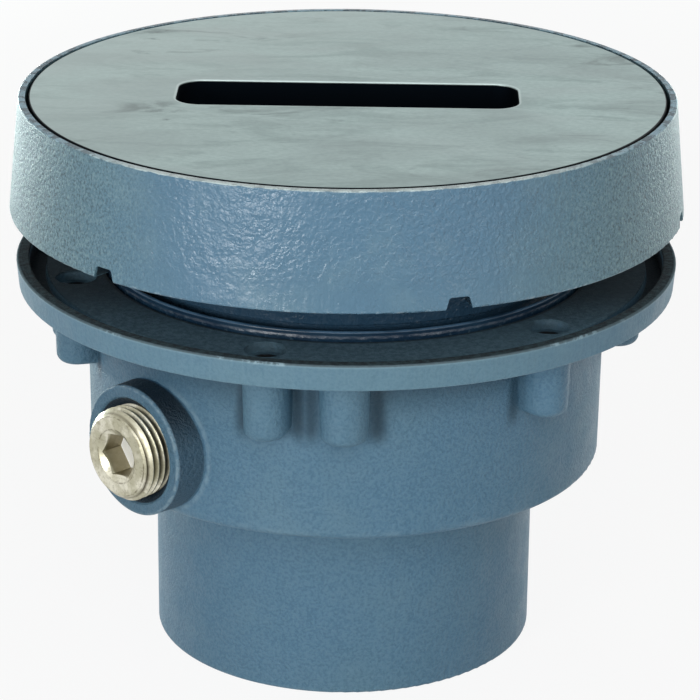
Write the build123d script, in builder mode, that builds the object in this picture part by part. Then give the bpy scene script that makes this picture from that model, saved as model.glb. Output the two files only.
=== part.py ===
from build123d import *
import os
from math import cos, radians, sin, tan

# Adjustable floor drain. A cast iron body with a clamping flange carries a threaded collar in its bore. A round
# head screws up and down in the collar and holds a loose slotted cover, and a plug closes the primer boss.
# Sizes are in millimetres. The origin is the middle of the outlet's lower end, +Z is up and -Y is the front.
# Angles are seen from above, from the front, and grow towards +X.

# Outlet
outlet_radius = 45.3
outlet_wall = 5.4
outlet_length = 46.0
outlet_edge_round = 0.8

# Thread between the head's shank and the collar
shank_radius = 53.6
shank_wall = 4.8
thread_clearance = 0.05
thread_lead_in = 1.0

# Collar
collar_wall = 3.15
collar_height = 10.3
collar_lead_in = 2.6
collar_edge_round = 0.5
collar_side_gap = 0.7

# Sump
collar_ledge_width = 2.1
sump_wall = 5.8
sump_draft = 0.4
sump_floor = 5.0
sump_floor_fall = 2.2
sump_edge_round = 1.5
sump_inner_round = 4.0

# Flange
land_width = 13.0
flange_thickness = 5.7
collar_above_land = 2.2
groove_width = 4.1
groove_depth = 2.2
groove_draft = 0.3
rim_width = 3.0
rim_above_land = 2.1
rim_height = 5.9
rim_draft = 0.5
rim_edge_round = 0.4
flange_chamfer_width = 4.9
flange_root_round = 1.6

# Clamp bolt holes and the cast bosses that hang under the flange
bolt_count = 6
bolt_angle = -15.5
bolt_from_bore = 7.1
bolt_hole_radius = 3.4
bolt_hole_depth = 15.0
bolt_recess_radius = 4.8
bolt_recess_depth = 2.4
bolt_boss_radius = 5.3
spare_boss_count = 4
spare_boss_angle = 0.0
spare_boss_radius = 5.7
boss_length = 14.8
boss_draft = 1.5
boss_root = 3.0
boss_foot_round = 2.2

# Primer boss and its plug
primer_angle = -45.0
primer_boss_above_bottom = 0.55
primer_boss_below_flange = 9.35
primer_boss_stands_out = 6.4
primer_boss_radius = 15.25
primer_boss_draft = 1.0
primer_boss_edge_round = 0.6
primer_countersink_radius = 12.7
plug_thread_radius = 10.67
plug_thread_clearance = 0.03
plug_taper = 1.79
plug_length = 14.3
plug_stands_out = 4.8
plug_edge_chamfer = 1.6
plug_end_chamfer = 1.0
socket_across_flats = 9.525
socket_depth = 6.3
socket_mouth_radius = 6.3
socket_turn = 7.0

# Head
head_radius = 76.2
head_draft = 2.65
head_height = 26.5
head_above_land = 14.2
head_rim_width = 1.65
head_edge_round = 0.5
skirt_wall = 4.5
skirt_edge_round = 0.5
web_thickness = 7.1
seat_width = 6.0
seat_step = 1.5
funnel_fall = 9.0
web_fall = 8.0
neck_step = 1.1
neck_draft = 0.6
neck_above_collar = 0.6
neck_edge_round = 0.4
neck_root_round = 3.0
relief_height = 2.0
relief_depth = 1.0
shank_below_collar = 24.0

# Notches in the skirt's lower edge
notch_count = 6
notch_angle = 18.0
notch_width = 6.2
notch_side_slope = 73.0
notch_height = 2.8
notch_corner_round = 0.8

# Cover
cover_gap = 0.8
cover_thickness = 6.4
cover_edge_round = 0.3
slot_length = 79.0
slot_width = 20.6
slot_corner_radius = 5.7
slot_from_middle = -2.3
slot_turn = -0.9

# Radii that follow from the fits
collar_bore = shank_radius + thread_clearance
collar_radius = collar_bore + collar_wall
bore_radius = collar_radius + collar_side_gap
throat_radius = bore_radius - collar_ledge_width
sump_radius = throat_radius + sump_wall
sump_low_radius = sump_radius - sump_draft
primer_boss_reach = sump_radius + primer_boss_stands_out
outlet_bore = outlet_radius - outlet_wall
land_radius = bore_radius + land_width
groove_radius = land_radius + groove_width
rim_radius = groove_radius + rim_width
rim_low_radius = rim_radius - rim_draft
bolt_circle_radius = bore_radius + bolt_from_bore
pocket_radius = head_radius - head_rim_width
cover_radius = pocket_radius - cover_gap
seat_radius = pocket_radius - seat_width
shank_bore = shank_radius - shank_wall
neck_radius = shank_radius + neck_step
skirt_radius = head_radius + head_draft

# Heights that follow from the fits
sump_bottom = outlet_length
primer_height = sump_bottom + primer_boss_above_bottom + primer_boss_radius
flange_low = primer_height + primer_boss_radius + primer_boss_below_flange
land = flange_low + flange_thickness
groove_floor = land - groove_depth
rim_top = land + rim_above_land
rim_low = rim_top - rim_height
collar_top = land + collar_above_land
collar_low = collar_top - collar_height
skirt_low = land + head_above_land
head_top = skirt_low + head_height
seat = head_top - cover_thickness
web_low = seat - web_thickness
neck_low = collar_top + neck_above_collar
relief_low = neck_low - relief_height
shank_low = collar_low - shank_below_collar


def corner(section, point):
    """The section's corner that lies nearest to a point given in its own plane."""
    return section.vertices().sort_by_distance(point)[0]


def facing_plane(angle, reach, height):
    """The upright plane that faces away from the drain's axis at an angle from the front."""
    a = radians(angle)
    outwards = Vector(sin(a), -cos(a), 0)
    return Plane(origin=outwards * reach + Vector(0, 0, height), x_dir=(cos(a), sin(a), 0), z_dir=outwards)


def upright_section(face):
    """The plane through a face's middle in which X points up and Y points out of the face."""
    return Plane(origin=face.origin, x_dir=face.y_dir, z_dir=face.x_dir)


def hanging_boss(radius):
    """A drafted boss under the flange, with its round end outwards and its root in the sump's wall."""
    boss_top = (groove_floor + flange_low) / 2
    with BuildPart() as boss:
        with BuildSketch(Plane.XY.offset(boss_top)):
            with Locations((-boss_root / 2, 0)):
                SlotCenterToCenter(boss_root, 2 * radius)
        extrude(amount=-(boss_length + boss_top - flange_low), taper=boss_draft)
        fillet(boss.faces().sort_by(Axis.Z)[0].edges(), boss_foot_round)
    return boss.part


bolt_boss = hanging_boss(bolt_boss_radius)
spare_boss = hanging_boss(spare_boss_radius)
primer_face = facing_plane(primer_angle, primer_boss_reach, primer_height)
primer_section = upright_section(primer_face)
primer_axis = Axis(primer_face.origin, primer_face.z_dir)

# Drain body: one casting, from the outlet's plain end up to the flange's rim
with BuildPart() as drain_body:
    with BuildSketch(Plane.XZ) as casting_section:
        with BuildLine():
            Polyline(
                (0, 0),
                (outlet_radius, 0),
                (outlet_radius, sump_bottom),
                (sump_low_radius, sump_bottom),
                (sump_radius, flange_low),
                (rim_low_radius - flange_chamfer_width, flange_low),
                (rim_low_radius, rim_low),
                (rim_radius, rim_top),
                (groove_radius, rim_top),
                (groove_radius - groove_draft, groove_floor),
                (land_radius + groove_draft, groove_floor),
                (land_radius, land),
                (0, land),
                close=True,
            )
        make_face()
        fillet(corner(casting_section, (outlet_radius, 0)), outlet_edge_round)
        fillet(corner(casting_section, (sump_low_radius, sump_bottom)), sump_edge_round)
        fillet(corner(casting_section, (sump_radius, flange_low)), flange_root_round)
        fillet(corner(casting_section, (rim_radius, rim_top)), rim_edge_round)
        fillet(corner(casting_section, (groove_radius, rim_top)), rim_edge_round)
        fillet(corner(casting_section, (rim_low_radius, rim_low)), rim_edge_round)
        fillet(corner(casting_section, (land_radius, land)), rim_edge_round)
    revolve(axis=Axis.Z)

    primer_boss_depth = primer_boss_reach - throat_radius
    primer_boss_root_radius = primer_boss_radius + primer_boss_depth * tan(radians(primer_boss_draft))
    with BuildSketch(primer_section) as primer_boss_section:
        with BuildLine():
            Polyline(
                (0, -primer_boss_depth),
                (primer_boss_root_radius, -primer_boss_depth),
                (primer_boss_radius, 0),
                (0, 0),
                close=True,
            )
        make_face()
        fillet(corner(primer_boss_section, (primer_boss_radius, 0)), primer_boss_edge_round)
    revolve(axis=primer_axis)

    with PolarLocations(bolt_circle_radius, bolt_count, start_angle=bolt_angle - 90):
        add(bolt_boss)
    with PolarLocations(bolt_circle_radius, spare_boss_count, start_angle=spare_boss_angle - 90):
        add(spare_boss)

    with BuildSketch(Plane.XZ) as waterway_section:
        with BuildLine():
            Polyline(
                (0, 0),
                (outlet_bore, 0),
                (outlet_bore, sump_bottom + sump_floor - sump_floor_fall),
                (sump_low_radius - sump_wall, sump_bottom + sump_floor),
                (throat_radius, collar_low),
                (bore_radius, collar_low),
                (bore_radius, land),
                (0, land),
                close=True,
            )
        make_face()
        fillet(corner(waterway_section, (sump_low_radius - sump_wall, sump_bottom + sump_floor)), sump_inner_round)
    revolve(axis=Axis.Z, mode=Mode.SUBTRACT)

    with Locations((0, 0, land)):
        with PolarLocations(bolt_circle_radius, bolt_count, start_angle=bolt_angle - 90):
            CounterBoreHole(bolt_hole_radius, bolt_recess_radius, bolt_recess_depth, bolt_hole_depth)

    thread_mouth_radius = plug_thread_radius + plug_thread_clearance
    thread_end_radius = thread_mouth_radius - (primer_boss_reach - outlet_bore) * tan(radians(plug_taper))
    countersink_depth = primer_countersink_radius - thread_mouth_radius
    with BuildSketch(primer_section):
        with BuildLine():
            Polyline(
                (0, outlet_bore - primer_boss_reach),
                (thread_end_radius, outlet_bore - primer_boss_reach),
                (thread_mouth_radius - countersink_depth * tan(radians(plug_taper)), -countersink_depth),
                (primer_countersink_radius, 0),
                (0, 0),
                close=True,
            )
        make_face()
    revolve(axis=primer_axis, mode=Mode.SUBTRACT)

# Adjusting collar: a ring that stands on the ledge in the body's bore, threaded inside
with BuildPart() as adjusting_collar:
    with BuildSketch(Plane.XZ) as collar_section:
        with BuildLine():
            Polyline(
                (collar_bore, collar_low),
                (collar_radius, collar_low),
                (collar_radius, collar_top),
                (collar_bore + collar_lead_in, collar_top),
                (collar_bore, collar_top - collar_lead_in),
                close=True,
            )
        make_face()
        fillet(corner(collar_section, (collar_radius, collar_top)), collar_edge_round)
    revolve(axis=Axis.Z)

# Head frame: one casting, with the cover's pocket, the hollow skirt, the funnel, the neck and the threaded shank
with BuildPart() as head_frame:
    with BuildSketch(Plane.XZ) as head_section:
        skirt_slope = head_draft / head_height
        skirt_top_radius = head_radius + skirt_slope * (head_top - web_low) - skirt_wall
        neck_root_radius = neck_radius + neck_draft
        hollow_round = min(neck_root_round, (skirt_top_radius - neck_root_radius) / 4)
        with BuildLine():
            Polyline(
                (head_radius, head_top),
                (skirt_radius, skirt_low),
                (skirt_radius - skirt_wall, skirt_low),
                (skirt_top_radius, web_low),
                (neck_root_radius, web_low - web_fall),
                (neck_radius, neck_low),
                (shank_radius - relief_depth, neck_low),
                (shank_radius - relief_depth, relief_low),
                (shank_radius, relief_low - relief_depth),
                (shank_radius, shank_low + thread_lead_in),
                (shank_radius - thread_lead_in, shank_low),
                (shank_bore, shank_low),
                (shank_bore, seat - seat_step - funnel_fall),
                (seat_radius, seat - seat_step),
                (seat_radius, seat),
                (pocket_radius, seat),
                (pocket_radius, head_top),
                close=True,
            )
        make_face()
        fillet(corner(head_section, (head_radius, head_top)), head_edge_round)
        fillet(corner(head_section, (skirt_radius, skirt_low)), skirt_edge_round)
        fillet(corner(head_section, (skirt_top_radius, web_low)), hollow_round)
        fillet(corner(head_section, (neck_root_radius, web_low - web_fall)), hollow_round)
        fillet(corner(head_section, (neck_radius, neck_low)), neck_edge_round)
    revolve(axis=Axis.Z)

    notch_inner_radius = skirt_radius - 2 * skirt_wall
    for k in range(notch_count):
        notch_plane = facing_plane(notch_angle + 360 / notch_count * k, notch_inner_radius, skirt_low)
        with BuildSketch(notch_plane) as notch_section:
            half_top = notch_width / 2 - notch_height / tan(radians(notch_side_slope))
            with BuildLine():
                Polyline(
                    (-notch_width / 2, 0),
                    (-half_top, notch_height),
                    (half_top, notch_height),
                    (notch_width / 2, 0),
                    close=True,
                )
            make_face()
            fillet(notch_section.vertices().group_by(Axis.Y)[-1], notch_corner_round)
        extrude(amount=3 * skirt_wall, mode=Mode.SUBTRACT)

# Slotted cover: a loose plate on the head's seat, flush with the rim
with BuildPart() as slotted_cover:
    with BuildSketch(Plane.XY.offset(seat)):
        Circle(cover_radius)
        with Locations((0, slot_from_middle)):
            RectangleRounded(slot_length, slot_width, slot_corner_radius, rotation=slot_turn, mode=Mode.SUBTRACT)
    extrude(amount=cover_thickness)
    fillet(slotted_cover.faces().sort_by(Axis.Z)[-1].edges(), cover_edge_round)

# Primer plug: tapered pipe plug with a hexagon socket
plug_face = primer_face.offset(plug_stands_out)
plug_face_radius = plug_thread_radius + plug_stands_out * tan(radians(plug_taper))
plug_end_radius = plug_face_radius - plug_length * tan(radians(plug_taper))
with BuildPart() as primer_plug:
    with BuildSketch(upright_section(plug_face)):
        with BuildLine():
            Polyline(
                (0, -plug_length),
                (plug_end_radius - plug_end_chamfer, -plug_length),
                (plug_end_radius, plug_end_chamfer - plug_length),
                (plug_face_radius, -plug_edge_chamfer),
                (plug_face_radius - plug_edge_chamfer, 0),
                (0, 0),
                close=True,
            )
        make_face()
    revolve(axis=primer_axis)
    with BuildSketch(plug_face):
        RegularPolygon(socket_across_flats / 2, 6, major_radius=False, rotation=socket_turn)
    extrude(amount=-socket_depth, mode=Mode.SUBTRACT)
    with BuildSketch(plug_face):
        Circle(socket_mouth_radius)
    extrude(amount=-(socket_mouth_radius - socket_across_flats / 2), taper=45, mode=Mode.SUBTRACT)

drain_body.part.label = "drain_body"
adjusting_collar.part.label = "adjusting_collar"
head_frame.part.label = "head_frame"
slotted_cover.part.label = "slotted_cover"
primer_plug.part.label = "primer_plug"

os.makedirs("parts", exist_ok=True)
export_step(drain_body.part, "parts/drain_body.step")
export_step(adjusting_collar.part, "parts/adjusting_collar.step")
export_step(head_frame.part, "parts/head_frame.step")
export_step(slotted_cover.part, "parts/slotted_cover.step")
export_step(primer_plug.part, "parts/primer_plug.step")
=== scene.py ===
from math import cos, radians, sin, sqrt

import bpy
from mathutils import Matrix, Vector


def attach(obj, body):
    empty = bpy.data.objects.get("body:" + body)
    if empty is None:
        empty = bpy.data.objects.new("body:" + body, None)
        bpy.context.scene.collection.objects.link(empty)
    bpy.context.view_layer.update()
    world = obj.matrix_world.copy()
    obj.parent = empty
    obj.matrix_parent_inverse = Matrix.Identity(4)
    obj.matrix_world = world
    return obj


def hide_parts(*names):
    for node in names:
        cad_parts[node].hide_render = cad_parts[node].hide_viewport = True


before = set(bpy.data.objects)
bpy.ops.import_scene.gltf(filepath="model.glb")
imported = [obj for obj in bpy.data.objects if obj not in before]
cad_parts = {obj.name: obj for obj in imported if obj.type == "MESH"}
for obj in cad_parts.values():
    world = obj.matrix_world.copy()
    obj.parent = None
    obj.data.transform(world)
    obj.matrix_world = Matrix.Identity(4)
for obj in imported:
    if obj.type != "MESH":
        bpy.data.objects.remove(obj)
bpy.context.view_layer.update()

# A cast iron floor drain in blue-grey enamel: a round head with a slotted cover, screwed into a flanged body.
# Lengths are in millimetres until they are given to Blender. Angles are seen from above, from the front, and
# grow towards +X.
MM = 0.001

# The head and its cover
HEAD_TOP = 132.8
HEAD_LOW = 106.3
SKIRT_RADIUS = 78.85
POCKET_RADIUS = 74.55
NECK_RADIUS = 54.7
SHANK_RADIUS = 53.6
THREAD_TOP = 93.7
COVER_RADIUS = 73.75
SLOT_LENGTH = 79.0
SLOT_WIDTH = 20.6
SLOT_CORNER = 5.7
SLOT_FORWARDS = 2.3
SLOT_TURN = -0.9

# The collar in the flange's bore
COLLAR_TOP = 94.3
COLLAR_RADIUS = 56.8

# The body's flange, its bolt holes and the bosses that hang under them
RIM_TOP = 94.2
RIM_LOW = 88.3
RIM_RADIUS = 77.6
GROOVE_RADIUS = 74.6
GROOVE_LOW = 89.9
LAND = 92.1
LAND_RADIUS = 70.5
FLANGE_LOW = 86.4
BOLT_ANGLE = -15.5
BOLT_CIRCLE = 64.6
HOLE_RADIUS = 3.4
HOLE_LOW = 77.1
RECESS_RADIUS = 4.8
RECESS_LOW = 89.7
BOSS_RADIUS = 5.3
SPARE_BOSS_RADIUS = 5.7
BOSS_LOW = 71.6

# The body's sump and outlet
BORE_RADIUS = 57.5
SUMP_RADIUS = 61.2
SUMP_LOW = 46.0
SUMP_FLOOR = 51.0
OUTLET_RADIUS = 45.3
OUTLET_BORE = 39.9

# The primer boss and its plug
PRIMER_ANGLE = -45.0
PRIMER_HEIGHT = 61.8
PRIMER_FACE = 67.6
PRIMER_RADIUS = 15.25
PORT_RADIUS = 12.7
PLUG_FACE = 72.4
PLUG_RADIUS = 10.82
PLUG_ROOT = 9.35
PLUG_LENGTH = 14.3
PLUG_CHAMFER = 1.6
SOCKET_FLATS = 9.525
SOCKET_DEPTH = 6.3
SOCKET_MOUTH = 6.3
SOCKET_TURN = 7


def outwards(angle):
    """The level direction that points away from the drain's axis at an angle from the front."""
    return Vector((sin(radians(angle)), -cos(radians(angle)), 0))


def along(angle):
    """The level direction that runs to the right along a face at an angle from the front."""
    return Vector((cos(radians(angle)), sin(radians(angle)), 0))


def pick(piece):
    """Selects one piece alone and makes it the active one."""
    bpy.ops.object.select_all(action="DESELECT")
    bpy.context.view_layer.objects.active = piece
    piece.select_set(True)


def draw_line(points):
    """A line of edges in the XZ plane, drawn by extruding a point. Points are (radius, height)."""
    bpy.ops.object.select_all(action="DESELECT")
    places = [Vector((radius, 0, height)) * MM for radius, height in points]
    bpy.ops.mesh.primitive_plane_add(size=MM, location=places[0])
    bpy.ops.object.mode_set(mode="EDIT")
    bpy.ops.mesh.merge(type="CENTER")
    for start, end in zip(places, places[1:]):
        bpy.ops.mesh.extrude_vertices_move(TRANSFORM_OT_translate={"value": end - start})
    bpy.ops.object.mode_set(mode="OBJECT")
    bpy.ops.object.transform_apply(location=True, rotation=True, scale=True)
    return bpy.context.object


def turn_on_lathe(points, steps=96, pitch=0.0, turns=1):
    """A line turned about the Z axis, and screwed up it by a pitch at each turn."""
    piece = draw_line(points)
    lathe = piece.modifiers.new("lathe", "SCREW")
    lathe.axis = "Z"
    lathe.steps = steps
    lathe.render_steps = steps
    lathe.iterations = turns
    lathe.screw_offset = pitch * MM
    bpy.ops.object.modifier_apply(modifier=lathe.name)
    bpy.ops.object.mode_set(mode="EDIT")
    bpy.ops.mesh.select_all(action="SELECT")
    bpy.ops.mesh.remove_doubles(threshold=0.004 * MM)
    bpy.ops.mesh.normals_make_consistent(inside=False)
    bpy.ops.object.mode_set(mode="OBJECT")
    return piece


def close_ends(piece):
    """Fills the two open ends of a screwed outline of four edges."""
    pick(piece)
    bpy.ops.object.mode_set(mode="EDIT")
    bpy.ops.mesh.select_all(action="DESELECT")
    bpy.ops.mesh.select_non_manifold()
    bpy.ops.mesh.fill_holes(sides=4)
    bpy.ops.mesh.select_all(action="SELECT")
    bpy.ops.mesh.normals_make_consistent(inside=False)
    bpy.ops.object.mode_set(mode="OBJECT")


def cut_off(piece, height, upper):
    """Cuts a piece level at a height, takes away the upper or the lower part and closes the cut."""
    pick(piece)
    bpy.ops.object.mode_set(mode="EDIT")
    bpy.ops.mesh.select_all(action="SELECT")
    bpy.ops.mesh.bisect(
        plane_co=(0, 0, height * MM),
        plane_no=(0, 0, 1),
        use_fill=True,
        clear_outer=upper,
        clear_inner=not upper,
    )
    bpy.ops.object.mode_set(mode="OBJECT")


def carve(piece, tool, operation="DIFFERENCE"):
    """Cuts a piece with a tool, or keeps what both share, and takes the tool away."""
    cut = piece.modifiers.new("cut", "BOOLEAN")
    cut.operation = operation
    cut.solver = "EXACT"
    cut.object = tool
    pick(piece)
    bpy.ops.object.modifier_apply(modifier=cut.name)
    bpy.data.objects.remove(tool)


def finish_piece(piece, name, body, material, smooth_angle=35):
    """Names a piece, smooths it, gives it its finish and sets it on the body that carries it."""
    pick(piece)
    bpy.ops.object.shade_smooth_by_angle(angle=radians(smooth_angle))
    weigh = piece.modifiers.new("weigh", "WEIGHTED_NORMAL")
    weigh.keep_sharp = True
    weigh.weight = 100
    bpy.ops.object.modifier_apply(modifier=weigh.name)
    piece.name = name
    piece.data.name = name
    piece.data.materials.clear()
    piece.data.materials.append(material)
    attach(piece, body)


def finish_node(node, material):
    """Gives one of the CAD model's pieces its finish."""
    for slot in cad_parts[node].material_slots:
        slot.material = material


class Finish:
    """A finish being mixed, with one short method for each kind of node that the finishes use.

    Places are the piece's own coordinates in millimetres. Masks run from 0 to 1.
    """

    def __init__(self, name):
        self.material = bpy.data.materials.new(name)
        self.material.use_nodes = True
        self.tree = self.material.node_tree
        self.shader = self.tree.nodes["Principled BSDF"]
        metres = self.put("TexCoord").outputs["Object"]
        self.place = self.scaled(metres, (1 / MM, 1 / MM, 1 / MM))
        self.x, self.y, self.height = self.put("SeparateXYZ", {0: self.place}).outputs
        self.radius = self.length(self.scaled(self.place, (1, 1, 0)))

    def put(self, kind, inputs=None, **settings):
        """A node of a kind, with its settings, and with values or other nodes' outputs on its inputs."""
        node = self.tree.nodes.new("ShaderNode" + kind)
        for key, value in settings.items():
            setattr(node, key, value)
        for key, value in (inputs or {}).items():
            if isinstance(value, bpy.types.NodeSocket):
                self.tree.links.new(value, node.inputs[key])
            else:
                node.inputs[key].default_value = value
        return node

    def math(self, operation, first, second=0.0):
        return self.put("Math", {0: first, 1: second}, operation=operation).outputs[0]

    def length(self, vector):
        return self.put("VectorMath", {0: vector}, operation="LENGTH").outputs["Value"]

    def dot(self, vector, direction):
        return self.put("VectorMath", {0: vector, 1: direction}, operation="DOT_PRODUCT").outputs["Value"]

    def scaled(self, vector, factors):
        return self.put("VectorMath", {0: vector, 1: factors}, operation="MULTIPLY").outputs[0]

    def moved(self, vector, offset):
        return self.put("VectorMath", {0: vector, 1: offset}, operation="ADD").outputs[0]

    def distance(self, first, second):
        """The distance from a point, by how far it lies from it in two directions."""
        return self.length(self.put("CombineXYZ", {0: first, 1: second}).outputs[0])

    def band(self, value, start, end, low=0.0, high=1.0):
        """low before start, high after end, and a smooth step between them. end may lie before start."""
        inputs = {"Value": value, "From Min": start, "From Max": end, "To Min": low, "To Max": high}
        return self.put("MapRange", inputs, interpolation_type="SMOOTHSTEP").outputs[0]

    def near(self, value, middle, reach):
        """1 where a value is at its middle, and 0 from reach on either side of it."""
        away = self.math("ABSOLUTE", self.math("SUBTRACT", value, middle))
        return self.band(away, 0.0, reach, 1.0, 0.0)

    def both(self, first, *others):
        """Where every one of some masks is, which is their product."""
        for other in others:
            first = self.math("MULTIPLY", first, other)
        return first

    def either(self, first, *others):
        """Where any one of some masks is, which is the highest of them."""
        for other in others:
            first = self.math("MAXIMUM", first, other)
        return first

    def noise(self, size, detail=2.0, roughness=0.5, squash=(1, 1, 1), seed=0.0, distortion=0.0):
        """Noise with lumps about size millimetres across, stretched along an axis where squash is small."""
        vector = self.moved(self.scaled(self.place, squash), (seed, seed * 7, -seed * 3))
        inputs = {"Vector": vector, "Scale": 0.5 / size, "Detail": detail, "Roughness": roughness}
        inputs["Distortion"] = distortion
        return self.put("TexNoise", inputs).outputs["Fac"]

    def mixed(self, factor, first, second):
        """One colour where factor is 0 and the other where it is 1."""
        return self.put("Mix", {0: factor, 6: first, 7: second}, data_type="RGBA").outputs[2]

    def relief(self, height, depth, under=None):
        """A relief of depth millimetres for a height that runs from 0 to 1, on top of the one under it."""
        inputs = {"Height": height, "Strength": 1.0, "Distance": depth * MM}
        if under:
            inputs["Normal"] = under
        return self.put("Bump", inputs).outputs[0]

    def set(self, **values):
        """Puts values or outputs on the shader, such as base_color or roughness."""
        for key, value in values.items():
            socket = self.shader.inputs[key.replace("_", " ").title().replace("Ior", "IOR")]
            if isinstance(value, bpy.types.NodeSocket):
                self.tree.links.new(value, socket)
            else:
                socket.default_value = value


def colour(red, green, blue):
    """A colour from its 0 to 255 values on screen."""
    channels = [c / 255 for c in (red, green, blue)]
    return [c / 12.92 if c <= 0.04045 else ((c + 0.055) / 1.055) ** 2.4 for c in channels] + [1.0]


def enamel_colour(f, seed, cloudy):
    """The enamel's blue-grey, which drifts a little over a casting and clouds lighter where it lies thick."""
    drift = f.noise(50, 3, 0.55, seed=seed)
    cloud = f.noise(8, 4, 0.6, seed=seed + 1)
    paint = f.mixed(f.band(drift, 0.38, 0.62), colour(80, 120, 146), colour(88, 124, 142))
    return f.mixed(f.both(f.band(cloud, 0.5, 0.72), cloudy), paint, colour(108, 141, 156))


def head_enamel():
    """Glossy enamel over the rough casting of the head, with a bare machined ring round the cover."""
    f = Finish("head_enamel")
    to_side = f.band(f.math("ABSOLUTE", f.x), 30, 68)
    sand = f.noise(0.3, 3, 0.7, squash=(1, 1, 0.85), seed=4.0)
    paint = enamel_colour(f, 1.3, 0.4)
    paint = sandy_sides(f, paint, sand, to_side)
    paint = chipped_edge_and_ring(f, paint)
    paint = shaded_head_parts(f, paint)
    rough = f.band(f.noise(3, 3, seed=8.0), 0.3, 0.7, 0.24, 0.34)
    rough = f.band(to_side, 0, 1, rough, 0.44)
    f.set(base_color=paint, roughness=rough, normal=head_relief(f, sand, to_side), ior=1.55)
    return f.material


def sandy_sides(f, paint, sand, to_side):
    """Towards its sides the head is greener and matt, with dark pits and pale grains of sand."""
    paint = f.mixed(f.both(to_side, 0.6), paint, colour(96, 132, 138))
    pits = f.both(f.band(sand, 0.48, 0.38), to_side, 0.9)
    paint = f.mixed(pits, paint, colour(52, 78, 88))
    grains = f.both(f.band(sand, 0.53, 0.62), to_side, 0.6)
    return f.mixed(grains, paint, colour(142, 170, 172))


def chipped_edge_and_ring(f, paint):
    """Chips along the head's lower edge, and the bare ring at its top, with a painted highlight that makes it
    lighter in front.
    """
    low_edge = f.band(f.height, HEAD_LOW + 1.0, HEAD_LOW + 0.2)
    chips = f.band(f.noise(0.9, 3, 0.6, seed=5.5), 0.54, 0.66)
    paint = f.mixed(f.both(low_edge, chips, 0.6), paint, colour(150, 174, 186))
    # Painted highlight: the bare ring is lighter and less specked towards the front.
    lit_front = f.band(f.y, -40, -66)
    metal = f.mixed(lit_front, colour(146, 184, 200), colour(204, 224, 224))
    specks = f.both(f.band(f.noise(1.5, 4, 0.7, seed=7.0), 0.46, 0.56), f.band(lit_front, 0, 1, 0.85, 0.35))
    bare = f.mixed(specks, metal, colour(34, 62, 74))
    ragged = f.math("MULTIPLY", f.math("SUBTRACT", f.noise(1.2, 3, seed=9.0), 0.5), 0.6)
    line = f.math("ADD", f.height, ragged)
    return f.mixed(f.band(line, HEAD_TOP - 0.28, HEAD_TOP - 0.1), paint, bare)


def shaded_head_parts(f, paint):
    """Painted shade darkens the inside of the head, and painted shade with dirt its notches. On its neck the
    enamel is dark. The thread's crests are worn.
    """
    # Painted shade inside the head, under the cover.
    inside = f.both(
        f.band(f.radius, POCKET_RADIUS + 0.2, POCKET_RADIUS - 0.1),
        f.band(f.height, HEAD_LOW + 4, HEAD_LOW + 8),
        f.band(f.height, HEAD_TOP - 0.5, HEAD_TOP - 1.2),
    )
    paint = f.mixed(f.both(inside, 0.9), paint, colour(20, 29, 36))
    # Painted shade, with dirt, on the faces of the notches.
    in_notch = f.both(
        f.band(f.radius, SKIRT_RADIUS - 0.65, SKIRT_RADIUS - 0.95),
        f.band(f.height, HEAD_LOW + 4, HEAD_LOW + 3.6),
        f.band(f.height, HEAD_LOW, HEAD_LOW + 0.2),
    )
    paint = f.mixed(f.both(in_notch, 0.9), paint, colour(16, 25, 32))
    on_neck = f.band(f.radius, NECK_RADIUS + 3.8, NECK_RADIUS + 1.3)
    paint = f.mixed(f.both(on_neck, 0.9), paint, colour(38, 68, 92))
    crest = f.both(
        f.band(f.radius, SHANK_RADIUS - 0.45, SHANK_RADIUS - 0.1),
        f.band(f.height, THREAD_TOP - 0.5, THREAD_TOP - 0.9),
        f.band(f.radius, SHANK_RADIUS + 0.3, SHANK_RADIUS + 0.1),
    )
    worn = f.band(f.noise(2.2, 4, 0.65, seed=9.5), 0.35, 0.6, 0.35, 0.9)
    return f.mixed(f.both(crest, worn), paint, colour(128, 142, 146))


def head_relief(f, sand, to_side):
    """Lumps and orange peel in front, strongest to the right, sand at the sides and streaks low down."""
    swells = f.noise(9, 1, seed=5.1)
    lumps = f.both(f.noise(1.2, 2, 0.5, seed=5.0), f.band(to_side, 0, 1, 1, 0.3))
    peel = f.noise(0.55, 2, 0.5, seed=3.0, distortion=0.6)
    peel = f.both(peel, f.both(f.band(to_side, 0, 1, 1, 0.35), f.band(f.x, -5, 20, 1, 1.8)))
    fine = f.noise(0.3, 2, 0.5, seed=5.2)
    streaks = f.noise(0.5, 2, 0.5, squash=(1, 1, 0.05), seed=6.0)
    low_down = f.band(f.height, HEAD_LOW + 10, HEAD_LOW + 3)
    normal = f.relief(swells, 0.6)
    normal = f.relief(f.both(lumps, f.band(low_down, 0, 1, 1, 0.5)), 0.3, normal)
    normal = f.relief(f.both(peel, f.band(low_down, 0, 1, 1, 0.4)), 0.26, normal)
    normal = f.relief(fine, 0.05, normal)
    normal = f.relief(f.both(sand, to_side), 0.24, normal)
    return f.relief(f.both(streaks, low_down), 0.14, normal)


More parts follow.
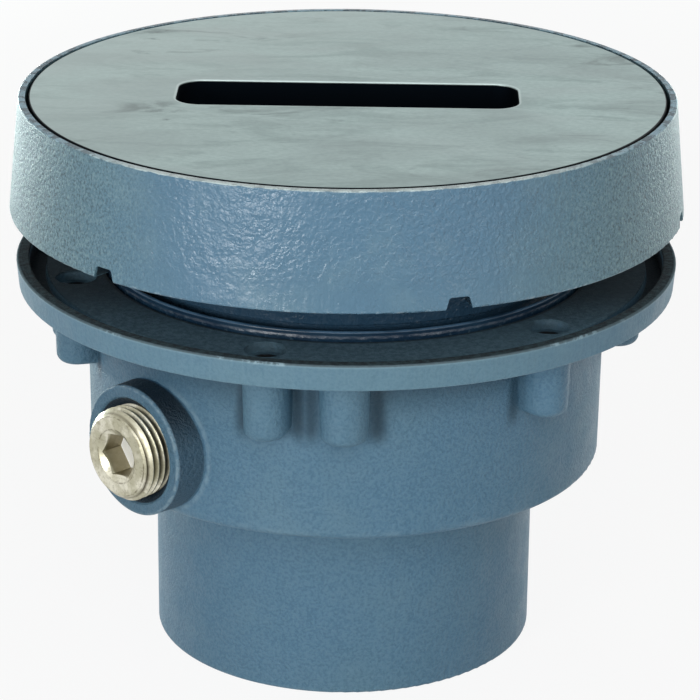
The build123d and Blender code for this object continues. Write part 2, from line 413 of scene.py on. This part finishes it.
def body_enamel():
    """Satin enamel over the body's sand casting, with its edges rubbed and chipped."""
    f = Finish("body_enamel")
    grain = f.noise(0.36, 3, 0.65, seed=13.0)
    streaks = f.noise(0.4, 2, 0.6, squash=(1, 1, 0.06), seed=13.5)
    chipping = f.noise(0.9, 4, 0.65, seed=14.5)
    paint = enamel_colour(f, 11.0, 0.25)
    paint = f.mixed(f.band(grain, 0.36, 0.5, 0.28, 0.0), paint, colour(52, 88, 114))
    paint = f.mixed(f.band(grain, 0.44, 0.62, 0.1, 0.45), paint, colour(106, 142, 162))
    # The flange's last mask covers its groove, land and rim top, with their painted shade and dust.
    paint, on_rim, dust_and_shade = flange_paint(f, paint, streaks, chipping)
    paint = bolt_hole_paint(f, paint, chipping)
    paint = rubbed_edges(f, paint)
    paint, on_boss = primer_boss_paint(f, paint, chipping)
    paint = dark_waterway(f, paint)

    normal = f.relief(f.noise(12, 1, seed=14.2), 0.5)
    normal = f.relief(f.noise(2.2, 2, 0.5, seed=14.0), 0.22, normal)
    rougher = f.both(f.band(on_rim, 0, 1, 1, 0.4), f.band(on_boss, 0, 1, 1, 1.8))
    normal = f.relief(f.both(grain, rougher), 0.4, normal)
    normal = f.relief(f.both(streaks, on_rim), 0.08, normal)
    rough = f.band(f.noise(3, 3, seed=15.0), 0.3, 0.7, 0.4, 0.52)
    rough = f.band(dust_and_shade, 0, 1, rough, 0.9)
    f.set(base_color=paint, roughness=rough, normal=normal, ior=1.4)
    return f.material


def flange_paint(f, paint, streaks, chipping):
    """The flange has a rubbed rim with a chipped top edge, a dusty land with painted shade at its sides and
    back, and a groove painted dark as shade between them.
    """
    on_rim = f.both(
        f.band(f.radius, RIM_RADIUS - 1.4, RIM_RADIUS - 0.9),
        f.band(f.height, RIM_LOW - 1.3, RIM_LOW + 0.1),
    )
    lightened = f.band(streaks, 0.35, 0.65, 0.3, 0.45)
    paint = f.mixed(f.both(on_rim, lightened), paint, colour(112, 146, 160))
    on_land = f.both(
        f.band(f.height, LAND - 0.7, LAND - 0.2),
        f.band(f.radius, LAND_RADIUS + 0.7, LAND_RADIUS + 0.1),
    )
    dust = f.band(f.noise(0.7, 3, 0.7, seed=13.8), 0.35, 0.7)
    dusty = f.mixed(dust, colour(76, 106, 122), colour(100, 132, 148))
    # Painted shade: the land is dark at its sides and back, where the head shades it, and dusty in front.
    lit_front = f.band(f.y, -20, -50, 0.25, 1.0)
    paint = f.mixed(on_land, paint, f.mixed(lit_front, colour(30, 40, 46), dusty))
    # Painted shade in the groove between the rim and the land.
    in_groove = f.both(
        f.band(f.radius, LAND_RADIUS, LAND_RADIUS + 0.5),
        f.band(f.radius, GROOVE_RADIUS + 0.6, GROOVE_RADIUS + 0.2),
        f.band(f.height, RIM_TOP - 0.2, LAND - 0.1),
        f.band(f.height, GROOVE_LOW - 1.2, GROOVE_LOW - 1.0),
    )
    paint = f.mixed(f.both(in_groove, 0.92), paint, colour(16, 23, 28))
    rim_top = f.both(
        f.band(f.height, RIM_TOP - 0.45, RIM_TOP - 0.25),
        f.band(f.radius, GROOVE_RADIUS - 0.4, GROOVE_RADIUS - 0.1),
    )
    paint = f.mixed(rim_top, paint, f.mixed(dust, colour(28, 40, 46), colour(56, 76, 82)))
    rim_edge = f.both(
        f.band(f.height, RIM_TOP - 0.9, RIM_TOP - 0.4),
        f.band(f.radius, RIM_RADIUS - 0.7, RIM_RADIUS - 0.4),
    )
    some_chips = f.both(f.band(chipping, 0.44, 0.62), f.band(f.noise(9, 2, seed=14.8), 0.48, 0.62))
    paint = f.mixed(f.both(rim_edge, f.band(some_chips, 0, 1, 0.3, 0.95)), paint, colour(150, 178, 190))
    return paint, on_rim, f.either(in_groove, on_land, rim_top)


def bolt_hole_paint(f, paint, chipping):
    """Painted shade darkens the inside of the six bolt holes, the sump wall beside the bosses that hang under
    the flange, and the wall just under the flange.
    """
    sixth = radians(60)
    angle = f.math("ARCTAN2", f.x, f.math("MULTIPLY", f.y, -1))
    turned = f.math("ADD", angle, radians(210 - BOLT_ANGLE))
    sideways = f.both(f.math("SUBTRACT", f.math("MODULO", turned, sixth), sixth / 2), f.radius)
    from_hole = f.distance(sideways, f.math("SUBTRACT", f.radius, BOLT_CIRCLE))
    # Painted shade inside the bolt holes.
    in_hole = f.both(
        f.band(from_hole, HOLE_RADIUS + 0.35, HOLE_RADIUS + 0.1),
        f.band(f.height, RECESS_LOW + 0.25, RECESS_LOW - 0.2),
        f.band(f.height, HOLE_LOW + 0.9, HOLE_LOW + 1.9),
    )
    paint = f.mixed(in_hole, paint, colour(15, 19, 22))
    in_recess = f.both(
        f.band(from_hole, RECESS_RADIUS + 0.3, RECESS_RADIUS + 0.1),
        f.band(f.height, LAND + 0.1, LAND - 0.5),
        f.band(f.height, RECESS_LOW - 1.1, RECESS_LOW - 0.9),
        f.math("SUBTRACT", 1, in_hole),
    )
    paint = f.mixed(f.both(in_recess, f.band(chipping, 0.3, 0.6, 0.3, 0.7)), paint, colour(84, 108, 120))

    # The spare bosses between the bolt holes stand on the X and Y axes
    from_spare = f.math("MINIMUM", f.math("ABSOLUTE", f.x), f.math("ABSOLUTE", f.y))
    # Painted shade on the sump wall beside the hanging bosses and just under the flange.
    beside = f.either(
        f.near(f.math("ABSOLUTE", sideways), BOSS_RADIUS + 1.3, 3.2),
        f.near(from_spare, SPARE_BOSS_RADIUS + 1.7, 3.4),
    )
    beside = f.both(beside, f.band(f.height, BOSS_LOW - 4.6, BOSS_LOW + 1.4))
    under_flange = f.band(f.height, BOSS_LOW + 1.4, FLANGE_LOW - 0.4, 0.0, 0.95)
    shaded_corners = f.both(
        f.either(beside, under_flange),
        f.band(f.radius, SUMP_RADIUS + 3.3, SUMP_RADIUS + 0.8),
        f.band(f.height, FLANGE_LOW + 0.6, FLANGE_LOW),
    )
    return f.mixed(f.both(shaded_corners, 0.8), paint, colour(20, 54, 72))


def rubbed_edges(f, paint):
    """The lower edges of the sump and of the outlet are rubbed lighter here and there."""
    sump_edge = f.both(
        f.near(f.height, SUMP_LOW + 1.3, 1.1),
        f.band(f.radius, SUMP_RADIUS - 3.7, SUMP_RADIUS - 2.2),
    )
    end_edge = f.both(f.near(f.height, 0.5, 0.8), f.band(f.radius, OUTLET_RADIUS - 1.3, OUTLET_RADIUS - 0.3))
    edges = f.both(f.either(sump_edge, end_edge), f.band(f.noise(4, 3, seed=15.5), 0.4, 0.65))
    return f.mixed(f.both(edges, 0.25), paint, colour(130, 158, 172))


def primer_axes(f):
    """How far a place is across, up and out from the primer boss's middle, and how far from its axis."""
    across = f.dot(f.place, along(PRIMER_ANGLE))
    up = f.math("SUBTRACT", f.height, PRIMER_HEIGHT)
    out = f.dot(f.place, outwards(PRIMER_ANGLE))
    return across, up, out, f.distance(across, up)


def primer_boss_paint(f, paint, chipping):
    """The boss is darker on its face. Painted shade darkens its side, most towards its top, and its port. Its
    face's edge has chips, and its root a painted highlight at the right, broken by chips.
    """
    across, up, out, from_axis = primer_axes(f)
    on_face = f.both(
        f.band(out, PRIMER_FACE - 0.4, PRIMER_FACE - 0.1),
        f.band(from_axis, PRIMER_RADIUS + 0.75, PRIMER_RADIUS + 0.25),
    )
    paint = f.mixed(f.both(on_face, 0.4), paint, colour(62, 92, 110))
    face_edge = f.both(
        f.band(out, PRIMER_FACE - 1.2, PRIMER_FACE - 0.5),
        f.near(from_axis, PRIMER_RADIUS - 0.25, 0.6),
        f.band(across, -6, 6, 0.35, 1.0),
    )
    paint = f.mixed(f.both(face_edge, f.band(chipping, 0.38, 0.6, 0.1, 0.7)), paint, colour(136, 160, 172))
    # Painted shade on the boss's side, strongest towards its top under the flange.
    on_boss = f.both(
        f.band(from_axis, PRIMER_RADIUS - 0.35, PRIMER_RADIUS - 0.05),
        f.band(from_axis, PRIMER_RADIUS + 1.75, PRIMER_RADIUS + 0.75),
        f.band(f.radius, SUMP_RADIUS + 0.2, SUMP_RADIUS + 0.7),
        f.band(out, PRIMER_FACE - 0.4, PRIMER_FACE - 1.0),
    )
    paint = f.mixed(f.both(on_boss, f.band(up, 2, 13, 0.5, 0.95)), paint, colour(16, 28, 38))
    # Painted highlight along the boss's root on its right, broken by chips.
    root = f.both(
        f.near(from_axis, PRIMER_RADIUS + 0.75, 1.0),
        f.band(f.radius, SUMP_RADIUS + 1.0, SUMP_RADIUS + 0.4),
        f.band(across, 2, 10),
        f.band(out, 40, 45),
    )
    paint = f.mixed(f.both(root, f.band(chipping, 0.35, 0.6, 0.1, 0.6)), paint, colour(132, 160, 176))
    # Painted shade in the port round the plug.
    in_port = f.both(
        f.band(from_axis, PORT_RADIUS + 0.2, PORT_RADIUS - 0.1),
        f.band(out, PRIMER_FACE - 0.2, PRIMER_FACE - 0.5),
        f.band(out, 50, 55),
    )
    return f.mixed(in_port, paint, colour(30, 48, 62)), on_boss


def dark_waterway(f, paint):
    """Darker inside the bore, sump and outlet."""
    inside = f.both(
        f.band(f.radius, BORE_RADIUS + 0.9, BORE_RADIUS + 0.4),
        f.band(f.height, SUMP_FLOOR - 1.5, SUMP_FLOOR - 0.5),
    )
    inside = f.either(inside, f.band(f.radius, OUTLET_BORE + 0.7, OUTLET_BORE + 0.3))
    return f.mixed(f.both(inside, 0.8), paint, colour(34, 46, 54))


def collar_enamel():
    """Dark glossy enamel on the adjusting collar, with a painted highlight along its top edge, and lumpy at
    its foot.
    """
    f = Finish("collar_enamel")
    cloud = f.noise(6, 3, 0.5, seed=21.0)
    paint = f.mixed(f.band(cloud, 0.4, 0.7), colour(26, 54, 78), colour(38, 70, 94))
    top_edge = f.both(
        f.band(f.height, COLLAR_TOP - 0.6, COLLAR_TOP - 0.2),
        f.near(f.radius, COLLAR_RADIUS - 0.2, 0.5),
    )
    # Painted highlight along the collar's top edge, broken up by noise.
    lightened = f.both(top_edge, f.band(f.noise(5, 3, seed=23.0), 0.4, 0.65, 0.1, 0.6))
    paint = f.mixed(lightened, paint, colour(104, 146, 180))
    foot = f.band(f.height, LAND + 1.3, LAND + 0.3)
    specks = f.both(foot, f.band(f.noise(0.9, 3, 0.7, seed=24.0), 0.58, 0.66, 0.0, 0.5))
    paint = f.mixed(specks, paint, colour(96, 122, 138))
    normal = f.relief(f.noise(3.0, 2, seed=22.0), 0.2)
    normal = f.relief(f.both(f.noise(1.1, 3, seed=25.0), foot), 0.4, normal)
    f.set(base_color=paint, roughness=0.3, normal=normal)
    return f.material


def cover_metal():
    """Ground grey-green metal, smudged and clouded, with a painted highlight as a pale line round its dark
    slot.
    """
    f = Finish("cover_metal")
    swirl = f.noise(15, 5, 0.55, squash=(0.5, 1, 1), seed=31.0, distortion=1.6)
    body = f.mixed(f.band(swirl, 0.3, 0.7), colour(132, 152, 151), colour(160, 179, 177))
    body = clouded(f, body)
    body = smudged(f, body)
    # Painted highlight: a pale line round the slot's edge.
    body = f.mixed(f.both(round_slot(f), 0.4), body, colour(204, 218, 216))

    # The cover's rounded edge is painted dark all round as shade from the gap beside it, least at the back,
    # and its slot is black
    edge = f.both(f.band(f.radius, COVER_RADIUS - 0.35, COVER_RADIUS - 0.25), f.band(f.y, 55, 30, 0.4, 1.0))
    dark = f.either(edge, f.band(f.height, HEAD_TOP - 0.3, HEAD_TOP - 0.5))
    body = f.mixed(dark, body, colour(10, 17, 23))
    normal = f.relief(f.noise(0.7, 3, 0.6, squash=(0.4, 1, 1), seed=33.0), 0.012)
    rough = f.band(swirl, 0.3, 0.7, 0.36, 0.5)
    rough = f.band(dark, 0, 1, rough, 0.6)
    f.set(base_color=body, metallic=1.0, roughness=rough, normal=normal)
    return f.material


def clouded(f, body):
    """Broad clouds, thin dark wisps and fine grit on the cover, with a painted sheen that makes it palest at
    its left back.
    """
    cloud = f.noise(32, 3, 0.5, squash=(0.6, 1, 1), seed=32.0, distortion=1.0)
    body = f.mixed(f.both(f.band(cloud, 0.42, 0.62), 0.5), body, colour(162, 183, 181))
    wisps = f.noise(5, 6, 0.65, squash=(0.35, 1, 1), seed=36.0, distortion=1.2)
    body = f.mixed(f.band(wisps, 0.36, 0.56, 0.42, 0.0), body, colour(112, 132, 131))
    grit = f.noise(0.45, 3, 0.7, squash=(0.6, 1, 1), seed=37.0)
    body = f.mixed(f.band(grit, 0.3, 0.7, 0.22, 0.0), body, colour(92, 108, 108))
    # Painted sheen: the cover is paler towards its left back.
    sheen_to_left = f.band(f.dot(f.place, (-0.8, 0.6, 0)), -20, 70)
    return f.mixed(f.both(sheen_to_left, 0.35), body, colour(172, 187, 184))


def smudged(f, body):
    """Dark smudges in patches on the cover, with scratches in them."""
    smudge = f.noise(9, 5, 0.6, squash=(0.45, 1, 1), seed=33.5, distortion=2.0)
    patchy = f.both(f.band(smudge, 0.54, 0.7), f.band(f.noise(22, 2, seed=34.0), 0.46, 0.6))
    body = f.mixed(f.both(patchy, 0.8), body, colour(98, 114, 113))
    stroke = f.noise(2.2, 2, squash=(0.12, 1, 1), seed=35.0, distortion=0.8)
    scratches = f.both(f.near(stroke, 0.5, 0.012), patchy)
    return f.mixed(f.both(scratches, 0.6), body, colour(84, 96, 98))


def round_slot(f):
    """A line that runs round the slot, whose outline is a rounded oblong."""
    lengthwise = f.math("ABSOLUTE", f.dot(f.place, along(SLOT_TURN)))
    crosswise = f.math("ABSOLUTE", f.math("SUBTRACT", f.dot(f.place, outwards(SLOT_TURN)), SLOT_FORWARDS))
    past_end = f.math("SUBTRACT", lengthwise, SLOT_LENGTH / 2 - SLOT_CORNER)
    past_side = f.math("SUBTRACT", crosswise, SLOT_WIDTH / 2 - SLOT_CORNER)
    from_corner = f.distance(f.math("MAXIMUM", past_end, 0), f.math("MAXIMUM", past_side, 0))
    return f.band(from_corner, SLOT_CORNER + 0.7, SLOT_CORNER + 0.3)


def plug_nickel():
    """Warm nickel plating, matt in the socket, and darker in the socket and between the threads, with painted
    light on the socket's right walls and floor.
    """
    f = Finish("plug_nickel")
    cloud = f.noise(3, 4, 0.6, seed=41.0)
    body = f.mixed(f.band(cloud, 0.4, 0.62), colour(186, 183, 160), colour(228, 225, 208))
    grit = f.noise(0.5, 4, 0.7, seed=41.5)
    body = f.mixed(f.band(grit, 0.5, 0.36, 0.0, 0.4), body, colour(140, 134, 112))

    # The socket's walls are brownish, with painted light that makes them bright at the right, and its floor
    # is painted white as painted light
    across, _, out, from_axis = primer_axes(f)
    floor = PLUG_FACE - SOCKET_DEPTH
    in_socket = f.both(
        f.band(out, PLUG_FACE - 1.0, PLUG_FACE - 1.8),
        f.band(from_axis, SOCKET_MOUTH - 0.5, SOCKET_MOUTH - 0.8),
        f.band(out, floor + 0.05, floor + 0.2),
    )
    # Painted light on the socket's walls at the right.
    lit_right = f.band(across, 3.0, 3.8)
    walls = f.mixed(lit_right, colour(130, 120, 92), colour(250, 248, 238))
    body = f.mixed(f.both(in_socket, 0.8), body, walls)
    in_thread = f.both(
        f.band(from_axis, PLUG_ROOT + 0.95, PLUG_ROOT + 0.35),
        f.band(from_axis, PLUG_ROOT - 0.45, PLUG_ROOT - 0.15),
        f.band(out, PLUG_FACE - 0.3, PLUG_FACE - 0.8),
    )
    body = f.mixed(f.both(in_thread, 0.75), body, colour(74, 66, 50))
    # Painted light: the socket's floor is white.
    on_floor = f.both(
        f.band(out, floor + 0.2, floor + 0.05),
        f.band(from_axis, SOCKET_MOUTH - 0.3, SOCKET_MOUTH - 0.5),
        f.band(out, floor - 0.4, floor - 0.2),
    )
    body = f.mixed(on_floor, body, colour(253, 254, 252))

    # Broken dark lines round the socket's mouth and the face's rim, and a few stains
    mouth_gaps = f.band(f.noise(0.8, 3, 0.7, seed=45.0), 0.42, 0.6)
    mouth_line = f.both(f.near(from_axis, SOCKET_MOUTH, 0.3), mouth_gaps)
    rim_gaps = f.band(f.noise(1.2, 3, 0.7, seed=46.0), 0.4, 0.6)
    rim_line = f.both(f.near(from_axis, PLUG_ROOT - 0.1, 0.25), rim_gaps)
    body = f.mixed(f.both(f.either(mouth_line, rim_line), 0.7), body, colour(92, 84, 64))
    stains = f.band(f.noise(1.1, 3, 0.7, seed=44.0), 0.68, 0.74)
    body = f.mixed(f.both(stains, 0.7), body, colour(96, 90, 76))
    normal = f.relief(f.noise(0.5, 3, 0.6, seed=42.0), 0.03)
    rough = f.band(f.noise(2, 3, seed=43.0), 0.3, 0.7, 0.34, 0.5)
    matt = f.either(on_floor, f.both(in_socket, lit_right))
    f.set(base_color=body, metallic=f.band(matt, 0, 1, 1, 0.15), roughness=rough, normal=normal)
    return f.material


def threaded_head():
    """The head's casting with the coarse thread of its shank cut into it, up to the relief under the neck."""
    pitch = 3.175
    turns = 11
    low = THREAD_TOP - turns * pitch
    outside = SHANK_RADIUS + 0.6
    root = SHANK_RADIUS - 1.1
    groove = [(outside, -1.5), (root, -0.4), (root, 0.4), (outside, 1.5), (outside, -1.5)]
    cutter = turn_on_lathe([(radius, low + height) for radius, height in groove], pitch=pitch, turns=turns)
    close_ends(cutter)

    head = bpy.data.objects.new("threaded_head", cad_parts["head_frame"].data.copy())
    bpy.context.collection.objects.link(head)
    pick(head)
    bpy.ops.object.mode_set(mode="EDIT")
    bpy.ops.mesh.select_all(action="SELECT")
    bpy.ops.mesh.remove_doubles(threshold=0.001 * MM)
    bpy.ops.mesh.customdata_custom_splitnormals_clear()
    bpy.ops.object.mode_set(mode="OBJECT")
    carve(head, cutter)
    finish_piece(head, "threaded_head", "head", head_enamel(), 30)
    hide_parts("head_frame")


def threaded_plug():
    """Pipe plug with its thread cut out to the chamfered face, and a hexagon socket with a wide mouth."""
    steps = 112
    plug = turn_on_lathe(
        [
            (0, -PLUG_LENGTH),
            (PLUG_ROOT, -PLUG_LENGTH),
            (PLUG_ROOT + 1, 1 - PLUG_LENGTH),
            (PLUG_RADIUS, -PLUG_CHAMFER),
            (PLUG_RADIUS - PLUG_CHAMFER, 0),
            (0, 0),
        ],
        steps,
    )
    above_face = 1.7
    bpy.ops.object.select_all(action="DESELECT")
    bpy.ops.mesh.primitive_cylinder_add(
        vertices=6,
        radius=SOCKET_FLATS / sqrt(3) * MM,
        depth=(SOCKET_DEPTH + above_face) * MM,
        location=(0, 0, (above_face - SOCKET_DEPTH) / 2 * MM),
        rotation=(0, 0, radians(SOCKET_TURN - 30)),
    )
    carve(plug, bpy.context.object)
    mouth = [(0, -SOCKET_MOUTH * 0.7), (SOCKET_MOUTH, 0), (SOCKET_MOUTH + 0.7, 0.5), (0, 0.5)]
    carve(plug, turn_on_lathe(mouth, steps))
    carve(plug, threaded_rod(steps), "INTERSECT")

    across, up, out = along(PRIMER_ANGLE), Vector((0, 0, 1)), outwards(PRIMER_ANGLE)
    seat = Matrix.Translation((out * PLUG_FACE + up * PRIMER_HEIGHT) * MM)
    plug.matrix_world = seat @ Matrix((across, up, out)).transposed().to_4x4()
    pick(plug)
    bpy.ops.object.transform_apply(location=True, rotation=True, scale=True)
    finish_piece(plug, "threaded_plug", "drain", plug_nickel())
    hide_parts("primer_plug")


def threaded_rod(steps):
    """A rod with the plug's thread all along it, a little longer than the plug at both ends."""
    pitch = 1.814
    turns = 10
    low = -turns * pitch - 0.8
    tooth = [(PLUG_ROOT, 0), (PLUG_ROOT + 1.62, 0.5 * pitch)]
    line = [(radius, low + height + k * pitch) for k in range(turns + 1) for radius, height in tooth]
    rod = turn_on_lathe(line + [(PLUG_ROOT, low + (turns + 1) * pitch)], steps, pitch)
    cut_off(rod, 1.0, upper=True)
    cut_off(rod, -PLUG_LENGTH - 0.3, upper=False)
    return rod


def photo_camera():
    """The camera in front of the drain and above it, with a long lens."""
    pitch = radians(20.68)
    roll = radians(0.59)
    away = 750.6
    aim = Vector((1.10, 0, 68.64))
    data = bpy.data.cameras.new("camera")
    data.sensor_width = 36
    data.lens = 161.43
    camera = bpy.data.objects.new("camera", data)
    bpy.context.collection.objects.link(camera)
    turn = Matrix.Rotation(radians(90) - pitch, 4, "X") @ Matrix.Rotation(roll, 4, "Z")
    camera.matrix_world = Matrix.Translation((aim + away * Vector((0, -cos(pitch), sin(pitch)))) * MM) @ turn
    bpy.context.scene.camera = camera


def lamp(name, angle, rise, width, height, power, tint=(1, 1, 1)):
    """A soft lamp that faces the drain from an angle round it and a rise above level, sized in metres."""
    middle = Vector((0, 0, 0.08))
    away = 0.85
    light = bpy.data.lights.new(name, "AREA")
    light.color = tint
    light.shape = "RECTANGLE"
    light.size = width
    light.size_y = height
    light.energy = power
    stand = bpy.data.objects.new(name, light)
    bpy.context.collection.objects.link(stand)
    direction = outwards(angle) * cos(radians(rise)) + Vector((0, 0, sin(radians(rise))))
    stand.location = middle + direction * away
    stand.rotation_euler = direction.to_track_quat("Z", "Y").to_euler()


def lamps():
    """A small key lamp at the left, softer lamps in front and above, and two low strips behind."""
    sea_green = (0.86, 1.0, 0.97)
    lamp("key_lamp", -32, 9, 0.24, 0.24, 2.3)
    lamp("front_lamp", 0, 30, 0.4, 0.4, 1.5)
    lamp("high_lamp", 0, 60, 0.5, 0.4, 0.5)
    lamp("fill_lamp", 36, 30, 0.3, 0.5, 0.3)
    lamp("low_fill_lamp", 38, 8, 0.2, 0.24, 0.4)
    lamp("left_strip", -149, -2, 0.5, 0.09, 5.1, sea_green)
    lamp("right_strip", 149, -2, 0.5, 0.09, 2.7, sea_green)
    lamp("top_lamp", 0, 88, 0.6, 0.6, 0.4)


def seen_directly(tree, plain, direct):
    """plain for the light that falls on things, and direct for what the camera and mirror-like faces see."""
    nodes, links = tree.nodes, tree.links
    rays = nodes.new("ShaderNodeLightPath").outputs
    seen = rays["Is Camera Ray"]
    for kind in ("Is Glossy Ray", "Is Transmission Ray"):
        higher = nodes.new("ShaderNodeMath")
        higher.operation = "MAXIMUM"
        links.new(seen, higher.inputs[0])
        links.new(rays[kind], higher.inputs[1])
        seen = higher.outputs[0]
    level = nodes.new("ShaderNodeMapRange")
    links.new(seen, level.inputs["Value"])
    level.inputs["To Min"].default_value = plain
    level.inputs["To Max"].default_value = direct
    return level.outputs[0]


def white_surroundings():
    """A world that gives a little light of its own and looks pure white."""
    world = bpy.data.worlds.new("studio")
    world.use_nodes = True
    bpy.context.scene.world = world
    background = world.node_tree.nodes["Background"]
    background.inputs["Color"].default_value = (1, 1, 1, 1)
    world.node_tree.links.new(seen_directly(world.node_tree, 0.17, 1.0), background.inputs["Strength"])


def paper_floor():
    """A large sheet of pale paper under the drain, which looks nearly white."""
    bpy.ops.object.select_all(action="DESELECT")
    bpy.ops.mesh.primitive_plane_add(size=6, location=(0, 0, 0))
    floor = bpy.context.object
    floor.name = "floor"
    material = bpy.data.materials.new("floor_paper")
    material.use_nodes = True
    nodes, links = material.node_tree.nodes, material.node_tree.links
    nodes.clear()
    paper = nodes.new("ShaderNodeBsdfDiffuse")
    paper.inputs["Color"].default_value = (0.86, 0.86, 0.86, 1)
    glow = nodes.new("ShaderNodeEmission")
    both = nodes.new("ShaderNodeMixShader")
    out = nodes.new("ShaderNodeOutputMaterial")
    links.new(seen_directly(material.node_tree, 0.0, 0.9), both.inputs[0])
    links.new(paper.outputs[0], both.inputs[1])
    links.new(glow.outputs[0], both.inputs[2])
    links.new(both.outputs[0], out.inputs["Surface"])
    floor.data.materials.append(material)


bpy.context.scene.view_settings.view_transform = "Standard"
photo_camera()
lamps()
white_surroundings()
paper_floor()
finish_node("drain_body", body_enamel())
finish_node("adjusting_collar", collar_enamel())
finish_node("slotted_cover", cover_metal())
threaded_head()
threaded_plug()
